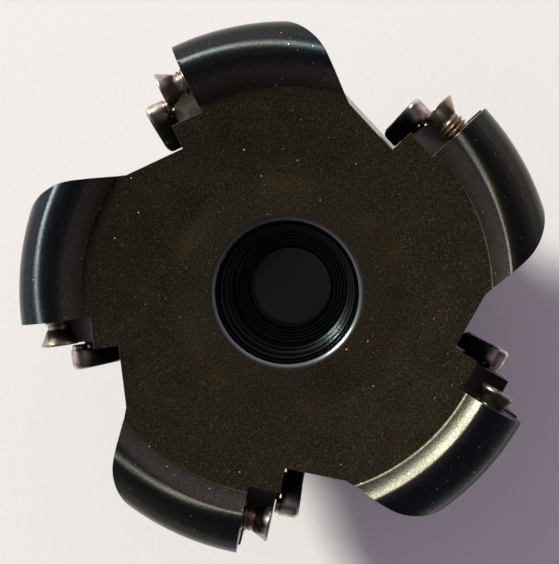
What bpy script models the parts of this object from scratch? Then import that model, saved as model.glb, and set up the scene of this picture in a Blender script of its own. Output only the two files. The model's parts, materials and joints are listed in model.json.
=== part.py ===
"""Face mill for five 12 mm round inserts, built as separate solids at rest.

The cutter stands on its rear seating face: the origin is the middle of that face,
+Z points to the cutting face, and the seat of tooth 1 lies on +X.
Each tooth has its own frame: u runs outward along the tooth, v runs the way the
tooth cuts (square to the insert seat), and z is the cutter axis.
"""

import math

import bmesh
import bpy
from mathutils import Matrix, Vector

MM = 0.001

# cutter body, millimetres
TEETH = 5
PITCH = math.radians(360 / TEETH)
TURNED_STEPS = 90
OUTER_R = 39.2
LOBE_RING_R = 34.0
LOBE_Z = 44.0
LOBE_R = 5.2
LOBE_STEPS = 10
INNER_FACE_R = 17.2
INNER_FACE_Z = 45.3
CREASE_Z = 47.0
FLANGE_BOTTOM_Z = 27.0
UNDERSIDE = ((29.6, 21.6), (36.2, 23.5))
HEAD_CORE_R = 27.6
HEAD_CORE_Z = 20.4
HUB_R = 28.0
HUB_TOP_Z = 21.0
HUB_CHAMFER = 1.0

# bores along the axis
ARBOR_BORE_R = 13.5
ARBOR_BORE_DEPTH = 22.0
ARBOR_CHAMFER = 0.8
SCREW_HOLE_R = 6.4
SCREW_SEAT_Z = 30.0
COUNTERBORE_R = 10.4
UPPER_STEP_R = 9.7
UPPER_STEP_Z = (41.6, 42.2)
LOWER_STEP_R = 9.25
LOWER_STEP_Z = (37.9, 38.4)
FRONT_CHAMFER = 1.0
DRIVE_SLOT_WIDTH = 12.4
DRIVE_SLOT_DEPTH = 7.0

# chip gullet, seat and clamp step of each tooth
GULLET_FLOOR_U = 25.0
GULLET_FLOOR_Z = 47.0
GULLET_TILT = math.radians(7.3)
GULLET_BOTTOM_Z = 12.0
GULLET_TOP_Z = 60.0
GULLET_INNER_U = 23.5
GULLET_MOUTH_R = 45.0
GULLET_MIDDLE = math.radians(24)
FLOOR_WEDGE_U = 15.0
FLOOR_WEDGE_V = (-2.0, 40.0)
CLAMP_STEP_V = 4.7
LEDGE_U = 32.0
LEDGE_V = 4.1
LEDGE_END_U = 36.0
RELIEF_V = 0.25
FLANK_V = -19.6
CORNER_U = 28.0
CORNER_V = -9.43
CORNER_R = 10.17
CORNER_STEPS = 10
POCKET_R = 6.05
TAPPED_R = 2.15
INSERT_HOLE_END_V = -9.5
CLAMP_HOLE_END_V = -6.5

# countersunk screw that holds an insert
SCREW_HEAD_R = 2.75
SCREW_RIM = 0.4
SCREW_CONE = 2.0
SCREW_NECK_R = 1.6
SCREW_NECK = 0.3
SCREW_THREAD_R = 1.95
SCREW_LENGTH = 10.0
SCREW_RIM_V = (4.9, 4.1, 3.7, 4.1, 2.4)
SOCKET_R = 1.55
SOCKET_WAVE = 0.24
SOCKET_DEPTH = 1.5

# clamp and its screw
CLAMP_U = 29.9
CLAMP_Z = 36.5
CLAMP_AIM = math.radians(53)
CLAMP_BACK_R = 3.2
CLAMP_NOSE_R = 1.6
CLAMP_NOSE_REACH = 3.89
CLAMP_UNDER_V = 4.98
CLAMP_TOP_V = 8.05
CLAMP_BEVEL = 0.4
HOOK_R = 1.15
HOOK_REACH = 4.15
HOOK_UNDER_V = 4.3
CLAMP_SCREW_HEAD_R = 2.6
CLAMP_SCREW_PROUD = 0.5
CLAMP_SCREW_CONE = 1.3
CLAMP_SCREW_LENGTH = 14.0
CLAMP_SOCKET_DEPTH = 1.3
CLAMP_HOLE_GAP = 0.15


def clear_scene():
    for obj in list(bpy.data.objects):
        bpy.data.objects.remove(obj, do_unlink=True)


def make_material(name, color, metallic, roughness):
    material = bpy.data.materials.new(name)
    material.use_nodes = True
    shader = material.node_tree.nodes["Principled BSDF"]
    shader.inputs["Base Color"].default_value = (*color, 1.0)
    shader.inputs["Metallic"].default_value = metallic
    shader.inputs["Roughness"].default_value = roughness
    return material


def object_from_rings(name, rings):
    """A closed solid from rings of points; a ring of one point closes an end."""
    mesh = bmesh.new()
    made = [[mesh.verts.new(Vector(p) * MM) for p in ring] for ring in rings]
    for low, high in zip(made, made[1:]):
        count = max(len(low), len(high))
        for i in range(count):
            j = (i + 1) % count
            if len(low) == 1:
                mesh.faces.new((low[0], high[j], high[i]))
            elif len(high) == 1:
                mesh.faces.new((low[i], low[j], high[0]))
            else:
                mesh.faces.new((low[i], low[j], high[j], high[i]))
    for ring in (made[0], made[-1]):
        if len(ring) > 1:
            mesh.faces.new(ring)
    bmesh.ops.recalc_face_normals(mesh, faces=mesh.faces)
    data = bpy.data.meshes.new(name)
    mesh.to_mesh(data)
    mesh.free()
    obj = bpy.data.objects.new(name, data)
    bpy.context.scene.collection.objects.link(obj)
    return obj


def turned(name, profile, steps):
    """A solid turned about Z from (radius, height) pairs, bottom to top."""
    rings = []
    for radius, height in profile:
        if radius == 0:
            rings.append([(0, 0, height)])
            continue
        angles = [2 * math.pi * i / steps for i in range(steps)]
        rings.append([(radius * math.cos(a), radius * math.sin(a), height) for a in angles])
    return object_from_rings(name, rings)


def prism(name, outline, low, high):
    return object_from_rings(name, [[(x, y, z) for x, y in outline] for z in (low, high)])


def arc(center, radius, start, end, steps):
    """Points of an arc; the angles are in degrees."""
    angles = [math.radians(start + (end - start) * i / steps) for i in range(steps + 1)]
    return [(center[0] + radius * math.cos(a), center[1] + radius * math.sin(a)) for a in angles]


def turn_points(points, angle):
    c = math.cos(angle)
    s = math.sin(angle)
    return [(x * c - y * s, x * s + y * c) for x, y in points]


def merge_copies(name, makers):
    """One cutter mesh holding several separate closed shapes."""
    mesh = bmesh.new()
    for obj, matrix in makers:
        piece = obj.data.copy()
        piece.transform(matrix)
        mesh.from_mesh(piece)
        bpy.data.meshes.remove(piece)
    data = bpy.data.meshes.new(name)
    mesh.to_mesh(data)
    mesh.free()
    for source in {obj.name for obj, _ in makers}:
        bpy.data.objects.remove(bpy.data.objects[source], do_unlink=True)
    merged = bpy.data.objects.new(name, data)
    bpy.context.scene.collection.objects.link(merged)
    return merged


def combine(target, other, operation):
    """Applies one exact Boolean to the target and removes the other shape."""
    modifier = target.modifiers.new(other.name, "BOOLEAN")
    modifier.operation = operation
    modifier.solver = "EXACT"
    modifier.object = other
    bpy.context.view_layer.update()
    graph = bpy.context.evaluated_depsgraph_get()
    result = bpy.data.meshes.new_from_object(target.evaluated_get(graph), depsgraph=graph)
    target.modifiers.clear()
    target.data = result
    bpy.data.objects.remove(other, do_unlink=True)


def finish(obj, material, matrix=None, sharp_degrees=28):
    """Smooth shading with sharp edges kept, the material, and the place."""
    obj.data.materials.clear()
    obj.data.materials.append(material)
    for face in obj.data.polygons:
        face.use_smooth = True
    obj.data.set_sharp_from_angle(angle=math.radians(sharp_degrees))
    if matrix is not None:
        obj.matrix_world = matrix
    return obj


def tooth_frame(index):
    """World matrix of a tooth frame; index 0 is tooth 1."""
    return Matrix.Rotation(PITCH * index, 4, "Z")


def seat_axis(u, z, v=0.0):
    """Tooth-frame matrix that stands a shape built along +Z on the seat, along +v."""
    return Matrix.Translation(Vector((u, v, z)) * MM) @ Matrix.Rotation(-math.pi / 2, 4, "X")


def gullet_outline():
    """Plan of the space ahead of a tooth, in that tooth's frame."""
    flank_start_v = (FLANK_V + GULLET_INNER_U * math.sin(PITCH)) / math.cos(PITCH)
    corner_end = math.degrees(math.atan2(CORNER_V, CORNER_U))
    corner = arc((CORNER_U, CORNER_V), CORNER_R, -90, corner_end, CORNER_STEPS)
    outward = math.hypot(*corner[-1])
    corner.append(tuple(c * GULLET_MOUTH_R / outward for c in corner[-1]))
    middle = turn_points([(GULLET_MOUTH_R + 15, 0)], GULLET_MIDDLE)
    return [
        (GULLET_MOUTH_R, RELIEF_V),
        (LEDGE_END_U, RELIEF_V),
        (LEDGE_END_U, LEDGE_V),
        (LEDGE_U, LEDGE_V),
        (LEDGE_U, CLAMP_STEP_V),
        (GULLET_INNER_U, CLAMP_STEP_V),
        (GULLET_INNER_U, flank_start_v),
        *turn_points(corner, PITCH),
        *middle,
    ]


def gullet_cutter():
    """The space ahead of a tooth; its floor leans outward toward the hub."""
    gullet = prism("gullet", gullet_outline(), GULLET_BOTTOM_Z, GULLET_TOP_Z)
    lean = math.tan(GULLET_TILT)
    near_v, far_v = FLOOR_WEDGE_V
    rings = []
    for height in (GULLET_BOTTOM_Z - 2, GULLET_TOP_Z + 2):
        face_u = GULLET_FLOOR_U + (GULLET_FLOOR_Z - height) * lean
        near = [(FLOOR_WEDGE_U, near_v, height), (face_u, near_v, height)]
        far = [(face_u, far_v, height), (FLOOR_WEDGE_U, far_v, height)]
        rings.append(near + far)
    combine(gullet, object_from_rings("floor", rings), "DIFFERENCE")
    return gullet


def on_every_tooth(name, obj, place):
    return merge_copies(name, [(obj, tooth_frame(k) @ place) for k in range(TEETH)])


def cutter_body(material):
    crease_angle = 180 - math.degrees(math.asin((CREASE_Z - LOBE_Z) / LOBE_R))
    lobe = arc((LOBE_RING_R, LOBE_Z), LOBE_R, 0, crease_angle, LOBE_STEPS)
    head_profile = [
        (0, HEAD_CORE_Z),
        (HEAD_CORE_R, HEAD_CORE_Z),
        *UNDERSIDE,
        (OUTER_R, FLANGE_BOTTOM_Z),
        *lobe,
        (INNER_FACE_R, INNER_FACE_Z),
        (0, INNER_FACE_Z),
    ]
    hub_profile = [
        (0, 0),
        (HUB_R - HUB_CHAMFER, 0),
        (HUB_R, HUB_CHAMFER),
        (HUB_R, HUB_TOP_Z),
        (0, HUB_TOP_Z),
    ]
    bore_profile = [
        (0, -1),
        (ARBOR_BORE_R + ARBOR_CHAMFER + 1, -1),
        (ARBOR_BORE_R, ARBOR_CHAMFER),
        (ARBOR_BORE_R, ARBOR_BORE_DEPTH),
        (SCREW_HOLE_R, ARBOR_BORE_DEPTH),
        (SCREW_HOLE_R, SCREW_SEAT_Z),
        (LOWER_STEP_R, SCREW_SEAT_Z),
        (LOWER_STEP_R, LOWER_STEP_Z[0]),
        (UPPER_STEP_R, LOWER_STEP_Z[1]),
        (UPPER_STEP_R, UPPER_STEP_Z[0]),
        (COUNTERBORE_R, UPPER_STEP_Z[1]),
        (COUNTERBORE_R, INNER_FACE_Z - FRONT_CHAMFER),
        (COUNTERBORE_R + FRONT_CHAMFER + 1, INNER_FACE_Z + 1),
        (0, INNER_FACE_Z + 1),
    ]
    body = turned("cutter_body", head_profile, TURNED_STEPS)
    combine(body, on_every_tooth("gullets", gullet_cutter(), Matrix()), "DIFFERENCE")
    combine(body, turned("hub", hub_profile, TURNED_STEPS), "UNION")
    combine(body, turned("bores", bore_profile, TURNED_STEPS), "DIFFERENCE")

    pocket = turned("pocket", [(POCKET_R, 0), (POCKET_R, 6)], 48)
    pocket_place = seat_axis(LOBE_RING_R, LOBE_Z)
    combine(body, on_every_tooth("pockets", pocket, pocket_place), "DIFFERENCE")
    hole = turned("hole", [(TAPPED_R, INSERT_HOLE_END_V), (TAPPED_R, 1)], 20)
    combine(body, on_every_tooth("insert_holes", hole, pocket_place), "DIFFERENCE")
    hole = turned("hole", [(TAPPED_R, CLAMP_HOLE_END_V), (TAPPED_R, 6)], 20)
    clamp_place = seat_axis(CLAMP_U, CLAMP_Z)
    combine(body, on_every_tooth("clamp_holes", hole, clamp_place), "DIFFERENCE")

    half = DRIVE_SLOT_WIDTH / 2
    reach = HUB_R + 4
    slot_outline = [(-reach, -half), (reach, -half), (reach, half), (-reach, half)]
    combine(body, prism("slot", slot_outline, -2, DRIVE_SLOT_DEPTH), "DIFFERENCE")
    return finish(body, material)


def socket_cutter(depth):
    """Six-lobed driver socket, sunk from the origin down."""
    outline = []
    for i in range(24):
        angle = math.radians(15 * i + 4)
        radius = SOCKET_R - SOCKET_WAVE + SOCKET_WAVE * math.cos(6 * angle)
        outline.append((radius * math.cos(angle), radius * math.sin(angle)))
    return prism("socket", outline, -depth, 1)


def insert_screw(number, material):
    """Origin on the screw axis, at the rim of the head."""
    profile = [
        (0, -SCREW_LENGTH),
        (SCREW_THREAD_R - 0.5, -SCREW_LENGTH),
        (SCREW_THREAD_R, -SCREW_LENGTH + 0.5),
        (SCREW_THREAD_R, -SCREW_RIM - SCREW_CONE - SCREW_NECK - 0.35),
        (SCREW_NECK_R, -SCREW_RIM - SCREW_CONE - SCREW_NECK),
        (SCREW_NECK_R, -SCREW_RIM - SCREW_CONE),
        (SCREW_HEAD_R, -SCREW_RIM),
        (SCREW_HEAD_R, -0.1),
        (SCREW_HEAD_R - 0.1, 0),
        (0, 0),
    ]
    screw = turned(f"insert_screw_{number}", profile, 28)
    combine(screw, socket_cutter(SOCKET_DEPTH), "DIFFERENCE")
    place = seat_axis(LOBE_RING_R, LOBE_Z, SCREW_RIM_V[number - 1])
    return finish(screw, material, tooth_frame(number - 1) @ place)


def clamp_outline(trim):
    """Teardrop about the screw hole, its nose along +X."""
    tilt = math.degrees(math.acos((CLAMP_BACK_R - CLAMP_NOSE_R) / CLAMP_NOSE_REACH))
    nose = arc((CLAMP_NOSE_REACH, 0), CLAMP_NOSE_R - trim, -tilt, tilt, 8)
    back = arc((0, 0), CLAMP_BACK_R - trim, tilt, 360 - tilt, 20)
    return nose + back


def clamp(number, material):
    """Origin on the clamp screw axis, level with the seat; nose toward the insert."""
    rings = []
    for trim, height in (
        (0, CLAMP_UNDER_V),
        (0, CLAMP_TOP_V - CLAMP_BEVEL),
        (CLAMP_BEVEL, CLAMP_TOP_V),
    ):
        rings.append([(x, y, height) for x, y in clamp_outline(trim)])
    plate = object_from_rings(f"clamp_{number}", rings)
    hook = prism("hook", arc((HOOK_REACH, 0), HOOK_R, 0, 345, 23), HOOK_UNDER_V, 6)
    combine(plate, hook, "UNION")
    head_r = CLAMP_SCREW_HEAD_R + CLAMP_HOLE_GAP
    seat_top = CLAMP_TOP_V + CLAMP_SCREW_PROUD - SCREW_RIM
    seat_low = seat_top - CLAMP_SCREW_CONE
    low_r = head_r - CLAMP_SCREW_CONE * math.tan(math.radians(30))
    through = [
        (low_r, 2),
        (low_r, seat_low),
        (head_r, seat_top),
        (head_r, CLAMP_TOP_V + 2),
    ]
    combine(plate, turned("seat", through, 28), "DIFFERENCE")
    aim = Matrix.Rotation(-CLAMP_AIM, 4, "Z")
    place = tooth_frame(number - 1) @ seat_axis(CLAMP_U, CLAMP_Z) @ aim
    return finish(plate, material, place)


def clamp_screw(number, material):
    """Origin on the screw axis, at the rim of the head."""
    low_r = CLAMP_SCREW_HEAD_R - CLAMP_SCREW_CONE * math.tan(math.radians(30))
    profile = [
        (0, -CLAMP_SCREW_LENGTH),
        (SCREW_THREAD_R - 0.5, -CLAMP_SCREW_LENGTH),
        (SCREW_THREAD_R, -CLAMP_SCREW_LENGTH + 0.5),
        (SCREW_THREAD_R, -SCREW_RIM - CLAMP_SCREW_CONE),
        (CLAMP_SCREW_HEAD_R, -SCREW_RIM),
        (CLAMP_SCREW_HEAD_R, -0.1),
        (CLAMP_SCREW_HEAD_R - 0.1, 0),
        (0, 0),
    ]
    screw = turned(f"clamp_screw_{number}", profile, 28)
    combine(screw, socket_cutter(CLAMP_SOCKET_DEPTH), "DIFFERENCE")
    place = seat_axis(CLAMP_U, CLAMP_Z, CLAMP_TOP_V + CLAMP_SCREW_PROUD)
    return finish(screw, material, tooth_frame(number - 1) @ place)


def main():
    clear_scene()
    oxide = make_material("black_oxide_steel", (0.022, 0.021, 0.017), 0.6, 0.5)
    clamp_black = make_material("clamp_black_steel", (0.012, 0.012, 0.013), 0.6, 0.4)
    clamp_screw_black = make_material("clamp_screw_steel", (0.02, 0.02, 0.02), 0.8, 0.35)
    steel = make_material("insert_screw_steel", (0.55, 0.52, 0.48), 1.0, 0.3)
    cutter_body(oxide)
    for number in range(1, TEETH + 1):
        insert_screw(number, steel)
        clamp(number, clamp_black)
        clamp_screw(number, clamp_screw_black)


main()
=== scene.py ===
"""Looks of a five-tooth face mill for round inserts: body, insert screws, clamps and clamp screws.

Lengths are in millimetres in this script until a mesh is made. Each tooth has its own
frame: u runs outward along the tooth, v runs the way the tooth cuts, z is the cutter axis.
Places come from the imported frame: tooth directions from the joints' axes, screw heights
from the CAD nodes and the clamp screws' axes from their hinges.
"""

import json
import math

import bmesh
import bpy
from mathutils import Matrix, Vector

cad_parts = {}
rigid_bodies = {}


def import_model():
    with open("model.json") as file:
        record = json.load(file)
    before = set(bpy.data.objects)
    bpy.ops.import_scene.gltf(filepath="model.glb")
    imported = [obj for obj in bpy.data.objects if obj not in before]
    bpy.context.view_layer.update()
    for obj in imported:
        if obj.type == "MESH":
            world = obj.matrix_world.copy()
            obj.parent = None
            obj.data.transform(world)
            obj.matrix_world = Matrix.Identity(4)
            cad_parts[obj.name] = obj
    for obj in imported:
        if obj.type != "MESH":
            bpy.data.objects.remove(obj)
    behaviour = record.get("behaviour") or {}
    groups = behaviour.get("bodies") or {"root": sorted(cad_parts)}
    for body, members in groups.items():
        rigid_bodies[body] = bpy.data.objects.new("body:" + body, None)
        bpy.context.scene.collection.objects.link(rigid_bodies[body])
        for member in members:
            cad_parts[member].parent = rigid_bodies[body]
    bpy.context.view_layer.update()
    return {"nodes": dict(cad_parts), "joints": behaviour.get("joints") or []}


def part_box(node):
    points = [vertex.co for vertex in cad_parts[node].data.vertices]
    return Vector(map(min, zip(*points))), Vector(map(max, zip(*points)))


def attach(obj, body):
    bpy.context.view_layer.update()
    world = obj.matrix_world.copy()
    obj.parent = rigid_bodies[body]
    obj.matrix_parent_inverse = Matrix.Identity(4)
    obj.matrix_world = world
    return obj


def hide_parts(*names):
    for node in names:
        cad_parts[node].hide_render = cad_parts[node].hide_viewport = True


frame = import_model()

MM = 0.001
Z_AXIS = Vector((0, 0, 1))

# fineness of the meshes
TURNED_STEPS = 360
ROUND_STEPS = 96
SCREW_STEPS = 72

# cutter body
TEETH = 5
PITCH = math.radians(360 / TEETH)
OUTER_R = 39.17
LOBE_RING_R = 34.0
LOBE_Z = 44.0
LOBE_R = OUTER_R - LOBE_RING_R
LOBE_INNER_R = LOBE_RING_R - LOBE_R
CREASE_FOOT = (29.5, 46.8)
CREASE_TOP = (29.8, 47.02)
FLANK_TOP_R = 32.1
FLANK_SAG = 0.07
CREASE_FILLET = 0.08
OUTER_FACET = (36.35, 37.6)
INNER_FACE_R = 17.2
INNER_FACE_Z = 45.3
INNER_FACE_ROUND = 0.8
FACET_GAP = 0.05
CROWN_STEPS = 18
FLANK_STEPS = 10
FLANGE_BOTTOM_Z = 27.0
UNDERSIDE = ((29.6, 21.6), (36.2, 23.5))
HEAD_CORE_Z = 20.4
HUB_R = 28.0
HUB_TOP_Z = 21.0
HUB_CHAMFER = 1.0
HUB_OVERLAP = 0.4
CUT_MARGIN = 2.0

# bores along the axis
ARBOR_BORE_R = 13.5
ARBOR_BORE_DEPTH = 22.0
ARBOR_CHAMFER = 0.8
SCREW_HOLE_R = 6.4
SCREW_SEAT_Z = 30.0
COUNTERBORE_R = 10.2
STEP_EDGES = ((9.7, 41.9), (9.3, 38.3), (8.95, 35.8))
STEP_ROUND = 0.16
STEP_WALL = 0.8
STEP_WALL_LEAN = 0.03
STEP_TREAD = 0.08
STEP_TREAD_RISE = 0.04
MOUTH_WALL_RISE = 0.5
FRONT_ROUND = 1.15
SEAT_R = 8.85
SEAT_CHAMFER = 0.25
SEAT_CORNER = (0.1, 0.3)
BORE_MARGIN = 1.0
TURNING_FEED = 0.55
TURNING_DEPTH = 0.06
GROOVE_POINTS = 8
DRIVE_SLOT_WIDTH = 12.4
DRIVE_SLOT_DEPTH = 7.0

# chip gullet, seat and clamp step of each tooth
GULLET_FLOOR_U = 25.0
GULLET_FLOOR_Z = 47.0
GULLET_TILT = math.radians(7.3)
GULLET_BOTTOM_Z = 12.0
GULLET_TOP_Z = 60.0
GULLET_INNER_U = 23.5
GULLET_MOUTH_R = 45.0
GULLET_MOUTH_BULGE = 15.0
GULLET_MIDDLE = math.radians(24)
FLOOR_WEDGE_U = 15.0
FLOOR_WEDGE_V = (-2.0, 40.0)
CLAMP_STEP_V = 4.7
LEDGE_U = 32.0
LEDGE_V = 4.1
LEDGE_END_U = 36.0
RELIEF_V = 0.25
FLANK_V = -19.6
CORNER_U = 28.0
CORNER_V = -9.43
CORNER_R = 10.17
POCKET_R = 6.05
POCKET_TOP_V = 6.0
TAPPED_R = 2.15
HOLE_FLARE_R = 0.8
HOLE_FLARE_V = (-0.3, 0.5)
INSERT_HOLE_END_V = -9.5
CLAMP_HOLE_END_V = -6.5

# screws
THREAD_PITCH = 0.7
THREAD_MAJOR_R = 1.95
THREAD_MINOR_R = 1.56
THREAD_ROW = 0.05
THREAD_START = 0.5
THREAD_RUNOUT = 0.6
THREAD_LEAST = 0.15
THREAD_ROOT_SHARE = 0.12
THREAD_FLANK_SHARE = 0.72
TIP_CHAMFER = (0.25, 0.3)
TIP_PLAIN = 0.35
HEAD_EDGE = 0.16
HEAD_RIM_EASE = (0.12, 0.1)
HEAD_RIM_DRAFT = 0.02
HEAD_FOOT = 0.08
NECK_ROUND = (0.12, 0.06)
INSERT_HEAD_R = 2.75
INSERT_RIM = 0.4
INSERT_CONE = 2.0
INSERT_NECK_R = 1.6
INSERT_NECK = 0.3
INSERT_LENGTH = 10.0
SOCKET_R = 1.55
SOCKET_WAVE = 0.24
SOCKET_DEPTH = 1.5
SOCKET_POINT = 0.35
SOCKET_TURN = 0.01
SOCKET_LAND = 1.25
INSERT_SCREW_TURN = 2.4
CLAMP_SCREW_TURN = 1.9
CLAMP_HEAD_R = 2.6
CLAMP_HEAD_RIM = 0.4
CLAMP_HEAD_CONE = 1.3
CLAMP_SCREW_LENGTH = 14.0
CLAMP_SOCKET_DEPTH = 1.3
CONE_SLOPE = math.tan(math.radians(30))

# clamp
CLAMP_AIM = math.radians(53)
CLAMP_BACK_R = 3.2
CLAMP_NOSE_R = 1.6
CLAMP_NOSE_REACH = 3.89
CLAMP_UNDER_V = 4.98
CLAMP_TOP_V = 8.05
CLAMP_TOP_SLOPE = 0.05
CLAMP_NOSE_END = 5.49
CLAMP_ROUND = 0.7
CLAMP_UNDER_ROUND = 0.2
HOOK_R = 1.15
HOOK_REACH = 4.15
HOOK_UNDER_V = 4.3
HOOK_TOP_V = 6.0
HOOK_CHAMFER = 0.2
HOOK_STEPS = 48
CLAMP_HOLE_GAP = 0.15
CLAMP_HEAD_SINK = 0.75
CLAMP_HOLE_START_V = 2.0

# marks on the surfaces
BROWN_RING_R = 16.0
BROWN_RING_FADE = (0.4, 2.2)
GREY_ZONE_R = (31.8, 33.5)
OLIVE_ZONE_R = (29.6, 31.4)
BORE_MOUTH_Z = (43.7, 44.3)
WORN_NOSE_REACH = (3.4, 5.3)

# camera and light
CAMERA_PLACE = Vector((10.444, 1.529, 190.135)) * MM
CAMERA_ROLL = -0.7487
CAMERA_TILT_X = -0.04597
CAMERA_TILT_Y = 0.01759
CAMERA_LENS = 64.41
CAMERA_SENSOR = 36.0
CAMERA_SHIFT_X = -0.0626
SUN_AZIMUTH = math.radians(99)
SUN_ELEVATION = math.radians(30)
SUN_STRENGTH = 4.8
SUN_SIZE = math.radians(10)
SUN_COLOR = (0.98, 0.99, 0.865)
SKY_LOW = (0.73, 0.61, 0.74)
SKY_HIGH = (0.055, 0.055, 0.065)
SKY_SIDE = math.radians(75)
SKY_UNEVENNESS = 0.88
SKY_BAND = (0.25, 0.95)
FLOOR_SIZE = 8.0
FLOOR_GAP = 0.1


# ---------------------------------------------------------------- meshes


def add_object(name, data):
    obj = bpy.data.objects.new(name, data)
    bpy.context.scene.collection.objects.link(obj)
    return obj


def object_from_bmesh(name, mesh):
    data = bpy.data.meshes.new(name)
    mesh.to_mesh(data)
    mesh.free()
    return add_object(name, data)


def object_from_rings(name, rings):
    """A closed solid from rings of points; a ring of one point closes an end."""
    mesh = bmesh.new()
    made = [[mesh.verts.new(Vector(p) * MM) for p in ring] for ring in rings]
    for low, high in zip(made, made[1:]):
        count = max(len(low), len(high))
        for i in range(count):
            j = (i + 1) % count
            if len(low) == 1:
                mesh.faces.new((low[0], high[j], high[i]))
            elif len(high) == 1:
                mesh.faces.new((low[i], low[j], high[0]))
            else:
                mesh.faces.new((low[i], low[j], high[j], high[i]))
    for ring in (made[0], made[-1]):
        if len(ring) > 1:
            mesh.faces.new(ring)
    bmesh.ops.recalc_face_normals(mesh, faces=mesh.faces)
    return object_from_bmesh(name, mesh)


def circle(radius, height, steps):
    """A level ring of points, or the one point on the axis."""
    if radius == 0:
        return [(0, 0, height)]
    angles = [2 * math.pi * i / steps for i in range(steps)]
    return [(radius * math.cos(a), radius * math.sin(a), height) for a in angles]


def turned(name, profile, steps):
    """A solid turned about Z from (radius, height) pairs, bottom to top."""
    return object_from_rings(name, [circle(r, z, steps) for r, z in profile])


def prism(name, outline, low, high):
    """An upright solid over an outline of (x, y) points."""
    return object_from_rings(name, [[(x, y, z) for x, y in outline] for z in (low, high)])


def arc(center, radius, start, end, steps):
    """Points of an arc; the angles are in degrees."""
    angles = [math.radians(start + (end - start) * i / steps) for i in range(steps + 1)]
    return [(center[0] + radius * math.cos(a), center[1] + radius * math.sin(a)) for a in angles]


def soft_corner(before, corner, after, reach, steps=6):
    """Points of a smooth turn that cuts a corner of a profile at a given reach."""
    a = Vector(corner) + (Vector(before) - Vector(corner)).normalized() * reach
    b = Vector(corner) + (Vector(after) - Vector(corner)).normalized() * reach
    points = []
    for i in range(steps + 1):
        t = i / steps
        point = a * (1 - t) ** 2 + Vector(corner) * 2 * t * (1 - t) + b * t * t
        points.append(tuple(point))
    return points


def turn_points(points, angle):
    """Plan points turned about the cutter axis."""
    c = math.cos(angle)
    s = math.sin(angle)
    return [(x * c - y * s, x * s + y * c) for x, y in points]


def merge_copies(name, makers):
    """One cutter mesh holding several separate closed shapes."""
    mesh = bmesh.new()
    for obj, matrix in makers:
        piece = obj.data.copy()
        piece.transform(matrix)
        mesh.from_mesh(piece)
        bpy.data.meshes.remove(piece)
    for source in {obj.name for obj, _ in makers}:
        bpy.data.objects.remove(bpy.data.objects[source], do_unlink=True)
    return object_from_bmesh(name, mesh)


def combine(target, other, operation):
    """Applies one exact Boolean to the target and removes the other shape."""
    modifier = target.modifiers.new(other.name, "BOOLEAN")
    modifier.operation = operation
    modifier.solver = "EXACT"
    modifier.object = other
    bpy.context.view_layer.update()
    graph = bpy.context.evaluated_depsgraph_get()
    result = bpy.data.meshes.new_from_object(target.evaluated_get(graph), depsgraph=graph)
    target.modifiers.clear()
    target.data = result
    bpy.data.objects.remove(other, do_unlink=True)


def smooth_with_edges(obj, sharp_degrees):
    """Smooth shading, broken only where faces meet at more than the given angle."""
    for face in obj.data.polygons:
        face.use_smooth = True
    obj.data.set_sharp_from_angle(angle=math.radians(sharp_degrees))


# ---------------------------------------------------------------- places


def joint_named(name):
    return next(j for j in frame["joints"] if j["name"] == name)


def tooth_matrix(number):
    """Tooth frame from the direction in which the tooth's insert screw slides."""
    v = Vector(joint_named(f"insert_screw_{number}_slide")["axis"]).normalized()
    u = v.cross(Z_AXIS)
    return Matrix((u, v, Z_AXIS)).transposed().to_4x4()


def highest_v(number, node):
    """How far a CAD node reaches along the tooth's v, in millimetres."""
    v = tooth_matrix(number) @ Vector((0, 1, 0))
    return max(v.dot(point.co) for point in frame["nodes"][node].data.vertices) / MM


def clamp_axis(number):
    """(u, z) of the clamp screw's axis in the tooth frame, in millimetres."""
    place = Vector(joint_named(f"clamp_screw_{number}_turn")["pos_m"])
    local = tooth_matrix(number).inverted() @ place
    return local.x / MM, local.z / MM


def seat_axis(u, z, v=0.0):
    """Tooth-frame matrix that stands a shape built along +Z on the seat, along +v."""
    return Matrix.Translation(Vector((u, v, z)) * MM) @ Matrix.Rotation(-math.pi / 2, 4, "X")


# ---------------------------------------------------------------- cutter body


def gullet_outline():
    """Plan of the space ahead of a tooth, in that tooth's frame."""
    flank_start_v = (FLANK_V + GULLET_INNER_U * math.sin(PITCH)) / math.cos(PITCH)
    corner_end = math.degrees(math.atan2(CORNER_V, CORNER_U))
    corner = arc((CORNER_U, CORNER_V), CORNER_R, -90, corner_end, 40)
    outward = math.hypot(*corner[-1])
    corner.append(tuple(c * GULLET_MOUTH_R / outward for c in corner[-1]))
    middle = turn_points([(GULLET_MOUTH_R + GULLET_MOUTH_BULGE, 0)], GULLET_MIDDLE)
    return [
        (GULLET_MOUTH_R, RELIEF_V),
        (LEDGE_END_U, RELIEF_V),
        (LEDGE_END_U, LEDGE_V),
        (LEDGE_U, LEDGE_V),
        (LEDGE_U, CLAMP_STEP_V),
        (GULLET_INNER_U, CLAMP_STEP_V),
        (GULLET_INNER_U, flank_start_v),
        *turn_points(corner, PITCH),
        *middle,
    ]


def gullet_cutter():
    """The space ahead of a tooth; its floor leans outward toward the hub."""
    gullet = prism("gullet", gullet_outline(), GULLET_BOTTOM_Z, GULLET_TOP_Z)
    lean = math.tan(GULLET_TILT)
    near_v, far_v = FLOOR_WEDGE_V
    rings = []
    for height in (GULLET_BOTTOM_Z - CUT_MARGIN, GULLET_TOP_Z + CUT_MARGIN):
        face_u = GULLET_FLOOR_U + (GULLET_FLOOR_Z - height) * lean
        near = [(FLOOR_WEDGE_U, near_v, height), (face_u, near_v, height)]
        far = [(face_u, far_v, height), (FLOOR_WEDGE_U, far_v, height)]
        rings.append(near + far)
    combine(gullet, object_from_rings("floor", rings), "DIFFERENCE")
    return gullet


def on_every_tooth(name, obj, place):
    """One cutter holding the same shape at the same place of every tooth's frame."""
    return merge_copies(name, [(obj, tooth_matrix(k) @ place) for k in range(1, TEETH + 1)])


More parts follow.
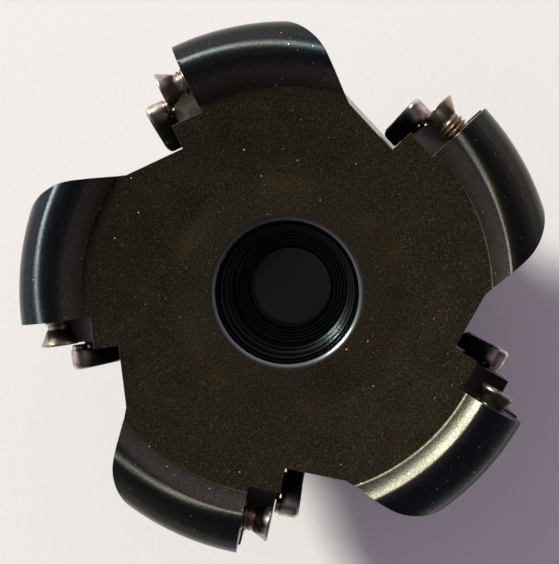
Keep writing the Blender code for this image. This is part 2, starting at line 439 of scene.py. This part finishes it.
def lobe_point(radius):
    """Point of the round lobe's upper half at a given distance from the axis."""
    return radius, LOBE_Z + math.sqrt(LOBE_R**2 - (radius - LOBE_RING_R) ** 2)


def lobe_inner_flank(top, foot):
    """Points of the slightly sagging facet between the crown and the crease."""
    points = []
    for i in range(1, FLANK_STEPS):
        t = i / FLANK_STEPS
        radius = top[0] + (foot[0] - top[0]) * t
        height = top[1] + (foot[1] - top[1]) * t
        points.append((radius, height + 4 * FLANK_SAG * t * (1 - t)))
    return points


def head_profile():
    """Outline of the turned head: underside, rim, lobe with two facets, lip and flat face."""
    crown_r, facet_r = OUTER_FACET
    lobe = arc((LOBE_RING_R, LOBE_Z), LOBE_R, 0, 90, 40)
    outer = [point for point in lobe if point[0] > facet_r + FACET_GAP]
    facet = [lobe_point(facet_r), lobe_point(crown_r)]
    crown_width = crown_r - FLANK_TOP_R
    crown = [lobe_point(crown_r - crown_width * i / CROWN_STEPS) for i in range(1, CROWN_STEPS + 1)]
    flank = lobe_inner_flank(crown[-1], CREASE_TOP)
    inner_edge = (INNER_FACE_R, INNER_FACE_Z)
    return [
        (0, HEAD_CORE_Z),
        (HUB_R - HUB_OVERLAP, HEAD_CORE_Z),
        *UNDERSIDE,
        (OUTER_R, FLANGE_BOTTOM_Z),
        *outer,
        *facet,
        *crown,
        *flank,
        *soft_corner(flank[-1], CREASE_TOP, CREASE_FOOT, CREASE_FILLET, 3),
        *soft_corner(CREASE_TOP, CREASE_FOOT, inner_edge, CREASE_FILLET, 3),
        *soft_corner(CREASE_FOOT, inner_edge, (0, INNER_FACE_Z), INNER_FACE_ROUND),
        (0, INNER_FACE_Z),
    ]


def grooves(start_r, end_r, height):
    """Points of the screw seat with fine rounded turning grooves."""
    count = round((end_r - start_r) / TURNING_FEED)
    points = []
    for i in range(count * GROOVE_POINTS + 1):
        sink = TURNING_DEPTH * (1 - math.cos(2 * math.pi * i / GROOVE_POINTS)) / 2
        points.append((start_r + (end_r - start_r) * i / (count * GROOVE_POINTS), height - sink))
    return points


def counterbore_steps():
    """The counterbore's wall from the seat up: near-upright walls between rounded edges."""
    steps = [(SEAT_R, SCREW_SEAT_Z + SEAT_CORNER[1])]
    for edge_r, edge_z in reversed(STEP_EDGES):
        steps.append((edge_r - STEP_WALL_LEAN, edge_z - STEP_ROUND - STEP_WALL))
        steps += arc((edge_r + STEP_ROUND, edge_z - STEP_ROUND), STEP_ROUND, 180, 90, 6)
        steps.append((edge_r + STEP_ROUND + STEP_TREAD, edge_z + STEP_TREAD_RISE))
    return steps


def bore_profile():
    """The bores' walls, the grooved screw seat, rounded steps and a rounded mouth."""
    mouth_center = (COUNTERBORE_R + FRONT_ROUND, INNER_FACE_Z - FRONT_ROUND)
    mouth = arc(mouth_center, FRONT_ROUND, 180, 94, 14)
    return [
        (0, -BORE_MARGIN),
        (ARBOR_BORE_R + ARBOR_CHAMFER + BORE_MARGIN, -BORE_MARGIN),
        (ARBOR_BORE_R, ARBOR_CHAMFER),
        (ARBOR_BORE_R, ARBOR_BORE_DEPTH),
        (SCREW_HOLE_R, ARBOR_BORE_DEPTH),
        (SCREW_HOLE_R, SCREW_SEAT_Z - SEAT_CHAMFER),
        *grooves(SCREW_HOLE_R + SEAT_CHAMFER, SEAT_R - SEAT_CORNER[0], SCREW_SEAT_Z),
        *counterbore_steps(),
        (COUNTERBORE_R, STEP_EDGES[0][1] + MOUTH_WALL_RISE),
        *mouth,
        (mouth[-1][0] + BORE_MARGIN, INNER_FACE_Z + BORE_MARGIN),
        (0, INNER_FACE_Z + BORE_MARGIN),
    ]


def kind_of_surface(face):
    """Name of the finish on a face of the body, told by its place and direction."""
    center = face.center / MM
    normal = face.normal
    radius = math.hypot(center.x, center.y)
    outward = (normal.x * center.x + normal.y * center.y) / max(radius, 0.1)
    if radius < COUNTERBORE_R + FRONT_ROUND and center.z < INNER_FACE_Z - 0.02:
        return "bore"
    if radius < ARBOR_BORE_R + 0.1 and center.z < ARBOR_BORE_DEPTH + 0.1:
        return "bore"
    if normal.z > 0.95 and radius < LOBE_INNER_R + 1.2 and center.z > 42:
        return "face"
    if center.z > LOBE_Z and radius > LOBE_INNER_R and normal.z > 0.04:
        return "lobe"
    if outward > 0.9 and radius > HUB_R - 1:
        return "lobe" if center.z > HUB_TOP_Z else "hub"
    if center.z < HUB_TOP_Z and abs(normal.z) > 0.9:
        return "hub"
    return "milled"


def paint_body(body, materials):
    slots = list(materials)
    for name in slots:
        body.data.materials.append(materials[name])
    for face in body.data.polygons:
        face.material_index = slots.index(kind_of_surface(face))


def cutter_body(materials):
    """The turned head and hub, less gullets, bores, pockets, screw holes and drive slot."""
    hub_profile = [
        (0, 0),
        (HUB_R - HUB_CHAMFER, 0),
        (HUB_R, HUB_CHAMFER),
        (HUB_R, HUB_TOP_Z),
        (0, HUB_TOP_Z),
    ]
    body = turned("body_shell", head_profile(), TURNED_STEPS)
    combine(body, on_every_tooth("gullets", gullet_cutter(), Matrix()), "DIFFERENCE")
    combine(body, turned("hub", hub_profile, TURNED_STEPS), "UNION")
    combine(body, turned("bores", bore_profile(), TURNED_STEPS), "DIFFERENCE")

    pocket_place = seat_axis(LOBE_RING_R, LOBE_Z)
    pocket = turned("pocket", [(POCKET_R, 0), (POCKET_R, POCKET_TOP_V)], ROUND_STEPS)
    combine(body, on_every_tooth("pockets", pocket, pocket_place), "DIFFERENCE")
    flare_low_v, flare_high_v = HOLE_FLARE_V
    hole_profile = [
        (TAPPED_R, INSERT_HOLE_END_V),
        (TAPPED_R, flare_low_v),
        (TAPPED_R + HOLE_FLARE_R, flare_high_v),
    ]
    hole = turned("hole", hole_profile, ROUND_STEPS)
    combine(body, on_every_tooth("insert_holes", hole, pocket_place), "DIFFERENCE")
    hole = turned("hole", [(TAPPED_R, CLAMP_HOLE_END_V), (TAPPED_R, POCKET_TOP_V)], ROUND_STEPS)
    clamp_place = seat_axis(*clamp_axis(1))
    combine(body, on_every_tooth("clamp_holes", hole, clamp_place), "DIFFERENCE")

    half = DRIVE_SLOT_WIDTH / 2
    reach = HUB_R + 2 * CUT_MARGIN
    slot_outline = [(-reach, -half), (reach, -half), (reach, half), (-reach, half)]
    combine(body, prism("slot", slot_outline, -CUT_MARGIN, DRIVE_SLOT_DEPTH), "DIFFERENCE")
    smooth_with_edges(body, 24)
    paint_body(body, materials)
    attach(body, "cutter_body")
    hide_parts("cutter_body")
    return body


# ---------------------------------------------------------------- screws


def thread_rings(low, high):
    """Rings of a right-hand thread between two heights, faded in at both ends."""
    rings = []
    rows = round((high - low) / THREAD_ROW)
    for row in range(rows + 1):
        z = low + (high - low) * row / rows
        fade = min(1, (z - low) / THREAD_START, (high - z) / THREAD_RUNOUT + THREAD_LEAST)
        ring = []
        for i in range(SCREW_STEPS):
            phase = (z / THREAD_PITCH - i / SCREW_STEPS) % 1
            rise = (1 - abs(2 * phase - 1) - THREAD_ROOT_SHARE) / THREAD_FLANK_SHARE
            ridge = min(1, max(0, rise))
            radius = THREAD_MINOR_R + (THREAD_MAJOR_R - THREAD_MINOR_R) * ridge * fade
            angle = 2 * math.pi * i / SCREW_STEPS
            ring.append((radius * math.cos(angle), radius * math.sin(angle), z))
        rings.append(ring)
    return rings


def socket_cutter(depth):
    """Six-lobed driver socket with a conical end, sunk from the origin down."""
    rings = []
    heights_and_scales = (
        (-depth - SOCKET_POINT, 0.25),
        (-depth, 0.93),
        (-0.12, 1.0),
        (0, 1.06),
        (0.5, 1.2),
    )
    for height, scale in heights_and_scales:
        ring = []
        for i in range(SCREW_STEPS):
            angle = 2 * math.pi * i / SCREW_STEPS + SOCKET_TURN
            wave = SOCKET_WAVE * math.cos(6 * angle)
            radius = (SOCKET_R - SOCKET_WAVE + wave) * scale
            ring.append((radius * math.cos(angle), radius * math.sin(angle), height))
        rings.append(ring)
    return object_from_rings("socket", rings)


def screw_mesh(name, head_r, rim, cone, neck, length, socket_depth):
    """Countersunk screw; its origin is on the axis, at the top of the head."""
    head_low = -rim - cone
    thread_top = head_low - neck
    tip = [
        (0, -length),
        (THREAD_MINOR_R - TIP_CHAMFER[0], -length),
        (THREAD_MINOR_R, -length + TIP_CHAMFER[1]),
    ]
    shank = []
    foot_r = head_r - cone * CONE_SLOPE
    if neck:
        shank = [(INSERT_NECK_R, thread_top + NECK_ROUND[1]), (INSERT_NECK_R, head_low)]
        foot_r = INSERT_NECK_R + NECK_ROUND[0]
    head = [
        (foot_r, head_low + HEAD_FOOT),
        (head_r - HEAD_RIM_EASE[0], -rim - HEAD_RIM_EASE[1]),
        (head_r - HEAD_RIM_DRAFT, -rim + HEAD_RIM_DRAFT),
        *arc((head_r - HEAD_EDGE, -HEAD_EDGE), HEAD_EDGE, 0, 90, 6),
        (SOCKET_R * SOCKET_LAND, 0),
        (0, 0),
    ]
    rings = [circle(r, z, SCREW_STEPS) for r, z in tip]
    rings += thread_rings(-length + TIP_PLAIN, thread_top)
    rings += [circle(r, z, SCREW_STEPS) for r, z in shank + head]
    screw = object_from_rings(name, rings)
    combine(screw, socket_cutter(socket_depth), "DIFFERENCE")
    smooth_with_edges(screw, 32)
    return screw


def place_copies(pattern, source, material, place_of):
    """One object per tooth that shares the source's mesh, in place of its CAD node."""
    source.data.materials.append(material)
    for number in range(1, TEETH + 1):
        node = pattern.format(number)
        piece = add_object(node + "_fine", source.data)
        piece.matrix_world = tooth_matrix(number) @ place_of(number)
        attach(piece, node)
        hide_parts(node)
    bpy.data.objects.remove(source, do_unlink=True)


def insert_screws(material):
    """Necked screws that stand out of the seats as far as their CAD nodes do."""
    source = screw_mesh(
        "insert_screw",
        head_r=INSERT_HEAD_R,
        rim=INSERT_RIM,
        cone=INSERT_CONE,
        neck=INSERT_NECK,
        length=INSERT_LENGTH,
        socket_depth=SOCKET_DEPTH,
    )

    def place(number):
        rim_v = highest_v(number, f"insert_screw_{number}")
        turn = Matrix.Rotation(INSERT_SCREW_TURN * number, 4, "Z")
        return seat_axis(LOBE_RING_R, LOBE_Z, rim_v) @ turn

    place_copies("insert_screw_{}", source, material, place)


def clamp_screws(material):
    """Neckless screws, set a little deeper than their CAD nodes so that they sit flush."""
    source = screw_mesh(
        "clamp_screw",
        head_r=CLAMP_HEAD_R,
        rim=CLAMP_HEAD_RIM,
        cone=CLAMP_HEAD_CONE,
        neck=0,
        length=CLAMP_SCREW_LENGTH,
        socket_depth=CLAMP_SOCKET_DEPTH,
    )

    def place(number):
        u, z = clamp_axis(number)
        rim_v = highest_v(number, f"clamp_screw_{number}") - CLAMP_HEAD_SINK
        return seat_axis(u, z, rim_v) @ Matrix.Rotation(CLAMP_SCREW_TURN * number, 4, "Z")

    place_copies("clamp_screw_{}", source, material, place)


# ---------------------------------------------------------------- clamps


def clamp_outline(trim):
    """Teardrop about the screw hole, its nose along +X."""
    tilt = math.degrees(math.acos((CLAMP_BACK_R - CLAMP_NOSE_R) / CLAMP_NOSE_REACH))
    nose = arc((CLAMP_NOSE_REACH, 0), CLAMP_NOSE_R - trim, -tilt, tilt, 24)
    back = arc((0, 0), CLAMP_BACK_R - trim, tilt, 360 - tilt, 60)
    return nose + back


def clamp_plate():
    """Clamp without its hook and hole: rounded edges and a top that slopes down to the back."""
    rings = []
    for turn in range(0, 91, 30):
        a = math.radians(turn)
        height = CLAMP_UNDER_V + CLAMP_UNDER_ROUND * (1 - math.cos(a))
        outline = clamp_outline(CLAMP_UNDER_ROUND * (1 - math.sin(a)))
        rings.append([(x, y, height) for x, y in outline])
    for turn in range(0, 91, 15):
        a = math.radians(turn)
        height = CLAMP_TOP_V - CLAMP_ROUND * (1 - math.sin(a))
        outline = clamp_outline(CLAMP_ROUND * (1 - math.cos(a)))
        rings.append([(x, y, height - CLAMP_TOP_SLOPE * (CLAMP_NOSE_END - x)) for x, y in outline])
    return object_from_rings("clamp", rings)


def clamps(material):
    """Finger clamps, each with a round hook under its nose and a countersunk hole."""
    clamp = clamp_plate()
    hook_profile = [
        (HOOK_R - HOOK_CHAMFER, HOOK_UNDER_V),
        (HOOK_R, HOOK_UNDER_V + HOOK_CHAMFER),
        (HOOK_R, HOOK_TOP_V),
    ]
    hook = turned("hook", hook_profile, HOOK_STEPS)
    hook.data.transform(Matrix.Translation((HOOK_REACH * MM, 0, 0)))
    combine(clamp, hook, "UNION")
    head_r = CLAMP_HEAD_R + CLAMP_HOLE_GAP
    hole_r = head_r - CLAMP_HEAD_CONE * CONE_SLOPE
    cone_top = highest_v(1, "clamp_screw_1") - CLAMP_HEAD_SINK - CLAMP_HEAD_RIM
    hole_profile = [
        (hole_r, CLAMP_HOLE_START_V),
        (hole_r, cone_top - CLAMP_HEAD_CONE),
        (head_r, cone_top),
        (head_r, CLAMP_TOP_V + CUT_MARGIN),
    ]
    combine(clamp, turned("seat", hole_profile, SCREW_STEPS), "DIFFERENCE")
    smooth_with_edges(clamp, 30)

    def place(number):
        u, z = clamp_axis(number)
        return seat_axis(u, z) @ Matrix.Rotation(-CLAMP_AIM, 4, "Z")

    place_copies("clamp_{}", clamp, material, place)


# ---------------------------------------------------------------- materials


class Paint:
    """Nodes of one material, with short ways to add and join them."""

    def __init__(self, name, roughness, metallic, ior=1.5):
        self.material = bpy.data.materials.new(name)
        self.material.use_nodes = True
        self.tree = self.material.node_tree
        self.shader = self.tree.nodes["Principled BSDF"]
        self.shader.inputs["Roughness"].default_value = roughness
        self.shader.inputs["Metallic"].default_value = metallic
        self.shader.inputs["IOR"].default_value = ior
        self.place = self.add("ShaderNodeTexCoord").outputs["Object"]

    def add(self, kind, **settings):
        node = self.tree.nodes.new(kind)
        for name, value in settings.items():
            setattr(node, name, value)
        return node

    def join(self, source, target):
        """Links a socket, or sets a number or colour on the target itself."""
        if isinstance(source, (int, float)):
            target.default_value = source
        elif isinstance(source, tuple):
            target.default_value = (*source, 1.0) if len(target.default_value) == 4 else source
        else:
            self.tree.links.new(source, target)

    def math(self, operation, a, b=0.0):
        node = self.add("ShaderNodeMath", operation=operation)
        self.join(a, node.inputs[0])
        self.join(b, node.inputs[1])
        return node.outputs[0]

    def noise(self, scale, detail=3.0, coords=None, roughness=0.5):
        node = self.add("ShaderNodeTexNoise")
        node.inputs["Scale"].default_value = scale
        node.inputs["Detail"].default_value = detail
        node.inputs["Roughness"].default_value = roughness
        self.join(coords or self.place, node.inputs["Vector"])
        return node.outputs["Fac"]

    def ramp(self, value, low, high, out_low=0.0, out_high=1.0):
        node = self.add("ShaderNodeMapRange", interpolation_type="SMOOTHSTEP")
        self.join(value, node.inputs["Value"])
        node.inputs["From Min"].default_value = low
        node.inputs["From Max"].default_value = high
        node.inputs["To Min"].default_value = out_low
        node.inputs["To Max"].default_value = out_high
        return node.outputs["Result"]

    def mix(self, amount, first, second):
        node = self.add("ShaderNodeMix", data_type="RGBA")
        self.join(amount, node.inputs["Factor"])
        self.join(first, node.inputs["A"])
        self.join(second, node.inputs["B"])
        return node.outputs["Result"]

    def place_parts(self):
        """X, Y and Z of the object's own coordinates, in metres."""
        parts = self.add("ShaderNodeSeparateXYZ")
        self.join(self.place, parts.inputs[0])
        return parts.outputs

    def radius_from_axis(self):
        parts = self.place_parts()
        squares = [self.math("MULTIPLY", parts[i], parts[i]) for i in (0, 1)]
        return self.math("SQRT", self.math("ADD", *squares))

    def round_coords(self, radial, axial, around):
        """Radius, height and a little of the angle, for marks that run round the axis."""
        x, y, z = self.place_parts()
        radius = self.radius_from_axis()
        angle = self.math("ARCTAN2", y, x)
        joined = self.add("ShaderNodeCombineXYZ")
        self.join(self.math("MULTIPLY", radius, radial), joined.inputs[0])
        self.join(self.math("MULTIPLY", z, axial), joined.inputs[1])
        self.join(self.math("MULTIPLY", angle, around), joined.inputs[2])
        return joined.outputs[0]

    def edge_wear(self, radius, low=0.02, high=0.3):
        """Close to 1 along sharp edges, from a rounded normal set against the true one.

        The rounded normal is kept in self.rounded for the bump.
        """
        rounded = self.add("ShaderNodeBevel", samples=6)
        rounded.inputs["Radius"].default_value = radius * MM
        true = self.add("ShaderNodeNewGeometry").outputs["Normal"]
        dot = self.add("ShaderNodeVectorMath", operation="DOT_PRODUCT")
        self.join(rounded.outputs["Normal"], dot.inputs[0])
        self.join(true, dot.inputs[1])
        self.rounded = rounded.outputs["Normal"]
        return self.ramp(self.math("SUBTRACT", 1.0, dot.outputs["Value"]), low, high)

    def worn(self, color, wear, share, bare):
        """Colour with the bare metal showing through where it is worn."""
        return self.mix(self.math("MULTIPLY", wear, share), color, bare)

    def brush_round(self, amount):
        """Stretches highlights across marks that run round the axis."""
        tangent = self.add("ShaderNodeTangent", direction_type="RADIAL", axis="Z")
        self.shader.inputs["Anisotropic"].default_value = amount
        self.join(tangent.outputs[0], self.shader.inputs["Tangent"])

    def bump(self, height, distance, strength=1.0, normal=None):
        node = self.add("ShaderNodeBump")
        node.inputs["Strength"].default_value = strength
        node.inputs["Distance"].default_value = distance * MM
        self.join(height, node.inputs["Height"])
        if normal is not None:
            self.join(normal, node.inputs["Normal"])
        return node.outputs["Normal"]

    def finish(self, color, roughness=None, normal=None):
        self.join(color, self.shader.inputs["Base Color"])
        if roughness is not None:
            self.join(roughness, self.shader.inputs["Roughness"])
        if normal is not None:
            self.join(normal, self.shader.inputs["Normal"])
        return self.material


def dust(paint, scale, share):
    """Small bright specks: the middles of a few cells of a fine cell pattern."""
    cells = paint.add("ShaderNodeTexVoronoi")
    cells.inputs["Scale"].default_value = scale
    paint.join(paint.place, cells.inputs["Vector"])
    near = paint.ramp(cells.outputs["Distance"], 0.12, 0.34, 1.0, 0.0)
    parts = paint.add("ShaderNodeSeparateColor")
    paint.join(cells.outputs["Color"], parts.inputs[0])
    chosen = paint.math("GREATER_THAN", parts.outputs[0], 1 - share)
    strength = paint.math("MULTIPLY", chosen, parts.outputs[1])
    return paint.math("MULTIPLY", near, strength)


def face_oxide():
    """Matte, grainy black oxide with a brown cast, dust and a faint broken ring of lighter brown."""
    paint = Paint("face_black_oxide", 0.6, 0.0, 1.45)
    paint.shader.inputs["Specular IOR Level"].default_value = 0.12
    wear = paint.edge_wear(0.14)
    grain = paint.noise(3600, 2.0)
    fine = paint.noise(2600, 2.0)
    mottle = paint.noise(150, 4.0)
    color = paint.mix(mottle, (0.0078, 0.0056, 0.0022), (0.0158, 0.0120, 0.0060))
    # a faint lighter brown ring round the axis, broken up by the mottle
    inward = paint.math("SUBTRACT", paint.radius_from_axis(), BROWN_RING_R * MM)
    fade_start, fade_end = (r * MM for r in BROWN_RING_FADE)
    on_ring = paint.ramp(paint.math("ABSOLUTE", inward), fade_start, fade_end, 1.0, 0.0)
    blotch = paint.math("MULTIPLY", on_ring, paint.ramp(mottle, 0.50, 0.66))
    color = paint.mix(paint.math("MULTIPLY", blotch, 0.35), color, (0.036, 0.019, 0.004))
    color = paint.mix(paint.ramp(grain, 0.52, 0.74, 0.0, 0.8), color, (0.044, 0.033, 0.018))
    color = paint.mix(paint.ramp(grain, 0.28, 0.48, 0.9, 0.0), color, (0.002, 0.002, 0.001))
    color = paint.mix(dust(paint, 3600, 0.04), color, (0.22, 0.12, 0.06))
    color = paint.mix(dust(paint, 2600, 0.004), color, (0.95, 0.70, 0.42))
    color = paint.worn(color, wear, 0.6, (0.16, 0.155, 0.15))
    rough = paint.ramp(mottle, 0.3, 0.7, 0.50, 0.64)
    normal = paint.bump(fine, 0.045, 0.9, paint.rounded)
    return paint.finish(color, rough, normal)


def lobe_oxide():
    """Blue-black oxide over turning marks, with an olive and a grey zone inside the crown."""
    paint = Paint("lobe_black_oxide", 0.4, 1.0)
    paint.brush_round(1.0)
    wear = paint.edge_wear(0.14)
    hairs = paint.noise(1.0, 2.0, paint.round_coords(260, 260, 280), 0.6)
    streaks = paint.noise(1.0, 4.0, paint.round_coords(2600, 2600, 0.8), 0.65)
    mottle = paint.noise(90, 3.0)
    grain = paint.noise(3400, 2.0)
    tint = paint.ramp(paint.noise(22, 2.0), 0.42, 0.58)
    color = paint.mix(mottle, (0.024, 0.032, 0.038), (0.046, 0.058, 0.062))
    color = paint.mix(tint, color, (0.046, 0.047, 0.036))
    radius = paint.radius_from_axis()
    for zone, zone_color in (
        (GREY_ZONE_R, (0.082, 0.080, 0.064)),
        (OLIVE_ZONE_R, (0.048, 0.050, 0.032)),
    ):
        inside = paint.ramp(radius, zone[0] * MM, zone[1] * MM, 1.0, 0.0)
        color = paint.mix(inside, color, zone_color)
    color = paint.mix(paint.ramp(streaks, 0.50, 0.80, 0.0, 0.5), color, (0.095, 0.097, 0.085))
    color = paint.mix(paint.ramp(grain, 0.30, 0.70, 0.45, 0.0), color, (0.008, 0.008, 0.007))
    color = paint.mix(dust(paint, 2600, 0.02), color, (0.80, 0.70, 0.50))
    color = paint.worn(color, wear, 0.7, (0.20, 0.205, 0.20))
    rough = paint.ramp(mottle, 0.3, 0.7, 0.31, 0.41)
    normal = paint.bump(hairs, 0.02, 0.4, paint.bump(grain, 0.014, 0.7, paint.rounded))
    return paint.finish(color, rough, normal)


def bore_oxide():
    """Dark, glossy bore walls with fine rings from boring, and a paler mouth."""
    paint = Paint("bore_black_oxide", 0.3, 1.0)
    wear = paint.edge_wear(0.10)
    rings = paint.noise(1.0, 3.0, paint.round_coords(900, 4200, 0.4), 0.6)
    color = paint.mix(rings, (0.016, 0.020, 0.021), (0.050, 0.060, 0.060))
    mouth = paint.ramp(paint.place_parts()[2], BORE_MOUTH_Z[0] * MM, BORE_MOUTH_Z[1] * MM)
    color = paint.mix(mouth, color, (0.150, 0.165, 0.155))
    color = paint.worn(color, wear, 0.4, (0.14, 0.14, 0.14))
    rough = paint.ramp(rings, 0.3, 0.7, 0.16, 0.28)
    return paint.finish(color, rough, paint.rounded)


def milled_oxide():
    """Olive-black oxide over milled gullets and seats, with faint cutter marks."""
    paint = Paint("milled_black_oxide", 0.3, 0.0, 1.45)
    paint.shader.inputs["Specular IOR Level"].default_value = 0.3
    wear = paint.edge_wear(0.14)
    marks = paint.add("ShaderNodeMapping")
    paint.join(paint.place, marks.inputs["Vector"])
    marks.inputs["Scale"].default_value = (1.0, 1.0, 14.0)
    lines = paint.noise(420, 3.0, marks.outputs["Vector"])
    mottle = paint.noise(120, 3.0)
    color = paint.mix(mottle, (0.014, 0.012, 0.007), (0.032, 0.026, 0.015))
    color = paint.worn(color, wear, 0.7, (0.30, 0.28, 0.24))
    rough = paint.ramp(lines, 0.3, 0.7, 0.16, 0.28)
    normal = paint.bump(lines, 0.015, 0.5, paint.rounded)
    return paint.finish(color, rough, normal)


def hub_oxide():
    """Black oxide over the turned and ground hub."""
    paint = Paint("hub_black_oxide", 0.36, 0.6, 1.8)
    wear = paint.edge_wear(0.2)
    rings = paint.noise(1.0, 3.0, paint.round_coords(2200, 2200, 0.6), 0.6)
    mottle = paint.noise(70, 4.0)
    color = paint.mix(mottle, (0.010, 0.010, 0.011), (0.026, 0.025, 0.024))
    color = paint.worn(color, wear, 0.8, (0.20, 0.195, 0.18))
    rough = paint.ramp(rings, 0.3, 0.7, 0.28, 0.44)
    normal = paint.bump(rings, 0.015, 0.6, paint.rounded)
    return paint.finish(color, rough, normal)


def clamp_oxide():
    """Glossy black clamp, worn along its edges and brushed bare toward the nose."""
    paint = Paint("clamp_black", 0.24, 1.0)
    wear = paint.edge_wear(0.34, 0.01, 0.16)
    mottle = paint.noise(300, 4.0)
    scratches = paint.noise(900, 4.0)
    along_nose = paint.place_parts()[0]
    nose = paint.ramp(along_nose, WORN_NOSE_REACH[0] * MM, WORN_NOSE_REACH[1] * MM)
    nose = paint.math("MULTIPLY", nose, paint.ramp(scratches, 0.35, 0.60, 0.45, 1.0))
    color = paint.mix(mottle, (0.028, 0.032, 0.038), (0.080, 0.080, 0.074))
    color = paint.mix(nose, color, (0.66, 0.60, 0.48))
    color = paint.worn(color, wear, 0.8, (0.60, 0.57, 0.52))
    rough = paint.ramp(mottle, 0.3, 0.7, 0.18, 0.34)
    normal = paint.bump(scratches, 0.012, 0.5, paint.rounded)
    return paint.finish(color, rough, normal)


def screw_black():
    """Black clamp screws, worn along their edges."""
    paint = Paint("clamp_screw_black", 0.3, 0.8, 1.8)
    wear = paint.edge_wear(0.15)
    mottle = paint.noise(500, 3.0)
    color = paint.mix(mottle, (0.018, 0.018, 0.020), (0.05, 0.048, 0.045))
    color = paint.worn(color, wear, 0.8, (0.35, 0.33, 0.30))
    rough = paint.ramp(mottle, 0.3, 0.7, 0.24, 0.42)
    return paint.finish(color, rough, paint.bump(mottle, 0.01, 0.5, paint.rounded))


def screw_steel():
    """Bare steel with a warm tint and brown stains, brighter on worn edges."""
    paint = Paint("insert_screw_steel_fine", 0.3, 1.0)
    wear = paint.edge_wear(0.12)
    mottle = paint.noise(700, 4.0)
    blotch = paint.noise(260, 3.0)
    color = paint.mix(mottle, (0.32, 0.29, 0.24), (0.56, 0.52, 0.45))
    color = paint.mix(paint.ramp(blotch, 0.45, 0.65, 0.0, 0.8), color, (0.22, 0.15, 0.08))
    color = paint.worn(color, wear, 0.7, (0.80, 0.78, 0.74))
    rough = paint.ramp(mottle, 0.3, 0.7, 0.22, 0.40)
    return paint.finish(color, rough, paint.bump(mottle, 0.01, 0.5, paint.rounded))


def floor_paper():
    """Pale matte floor with a barely visible grain."""
    paint = Paint("pale_floor", 0.75, 0.0)
    fibre = paint.noise(900, 4.0)
    color = paint.mix(fibre, (0.80, 0.79, 0.80), (0.86, 0.85, 0.86))
    return paint.finish(color, 0.75, paint.bump(fibre, 0.05, 0.3))


# ---------------------------------------------------------------- scene


def floor():
    mesh = bmesh.new()
    bmesh.ops.create_grid(mesh, x_segments=1, y_segments=1, size=FLOOR_SIZE)
    plane = object_from_bmesh("floor", mesh)
    plane.location.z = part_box("cutter_body")[0].z - FLOOR_GAP * MM
    plane.data.materials.append(floor_paper())


def sun():
    """The key light: low, slightly yellow and wide enough for soft shadow edges."""
    light = bpy.data.lights.new("key", "SUN")
    light.energy = SUN_STRENGTH
    light.angle = SUN_SIZE
    light.color = SUN_COLOR
    lamp = add_object("key", light)
    flat = math.cos(SUN_ELEVATION)
    toward = Vector((flat * math.cos(SUN_AZIMUTH), flat * math.sin(SUN_AZIMUTH), math.sin(SUN_ELEVATION)))
    lamp.rotation_euler = toward.to_track_quat("Z", "Y").to_euler()


def sky():
    """Soft light: brighter toward the horizon than overhead, and brighter on one side."""
    world = bpy.data.worlds.new("soft_sky")
    bpy.context.scene.world = world
    world.use_nodes = True
    tree = world.node_tree
    back = tree.nodes["Background"]
    coords = tree.nodes.new("ShaderNodeTexCoord")
    parts = tree.nodes.new("ShaderNodeSeparateXYZ")
    tree.links.new(coords.outputs["Generated"], parts.inputs[0])
    ramp = tree.nodes.new("ShaderNodeValToRGB")
    tree.links.new(parts.outputs["Z"], ramp.inputs["Fac"])
    stops = ramp.color_ramp.elements
    for stop, height, color in zip(stops, SKY_BAND, (SKY_LOW, SKY_HIGH)):
        stop.position = height
        stop.color = (*color, 1)
    tree.links.new(ramp.outputs["Color"], back.inputs["Color"])
    side = tree.nodes.new("ShaderNodeVectorMath")
    side.operation = "DOT_PRODUCT"
    tree.links.new(coords.outputs["Generated"], side.inputs[0])
    side.inputs[1].default_value = (math.cos(SKY_SIDE), math.sin(SKY_SIDE), 0)
    level = tree.nodes.new("ShaderNodeMapRange")
    tree.links.new(side.outputs["Value"], level.inputs["Value"])
    level.inputs["From Min"].default_value = -1
    level.inputs["To Min"].default_value = 1 - SKY_UNEVENNESS
    level.inputs["To Max"].default_value = 1 + SKY_UNEVENNESS
    tree.links.new(level.outputs["Result"], back.inputs["Strength"])


def camera():
    """Looks down on the front, a little off the cutter axis."""
    data = bpy.data.cameras.new("camera")
    data.lens = CAMERA_LENS
    data.sensor_width = CAMERA_SENSOR
    data.sensor_fit = "HORIZONTAL"
    data.shift_x = CAMERA_SHIFT_X
    data.clip_start = 0.005
    eye = add_object("camera", data)
    roll = Matrix.Rotation(CAMERA_ROLL, 4, "Z")
    tilt = Matrix.Rotation(CAMERA_TILT_X, 4, "X") @ Matrix.Rotation(CAMERA_TILT_Y, 4, "Y")
    eye.matrix_world = Matrix.Translation(CAMERA_PLACE) @ roll @ tilt
    bpy.context.scene.camera = eye


def main():
    for obj in list(bpy.data.objects):
        if obj.name in ("Cube", "Light", "Camera"):
            bpy.data.objects.remove(obj, do_unlink=True)
    camera()
    sun()
    sky()
    floor()
    cutter_body(
        {
            "milled": milled_oxide(),
            "face": face_oxide(),
            "lobe": lobe_oxide(),
            "bore": bore_oxide(),
            "hub": hub_oxide(),
        }
    )
    insert_screws(screw_steel())
    clamp_screws(screw_black())
    clamps(clamp_oxide())
    bpy.context.scene.view_settings.view_transform = "Standard"


main()
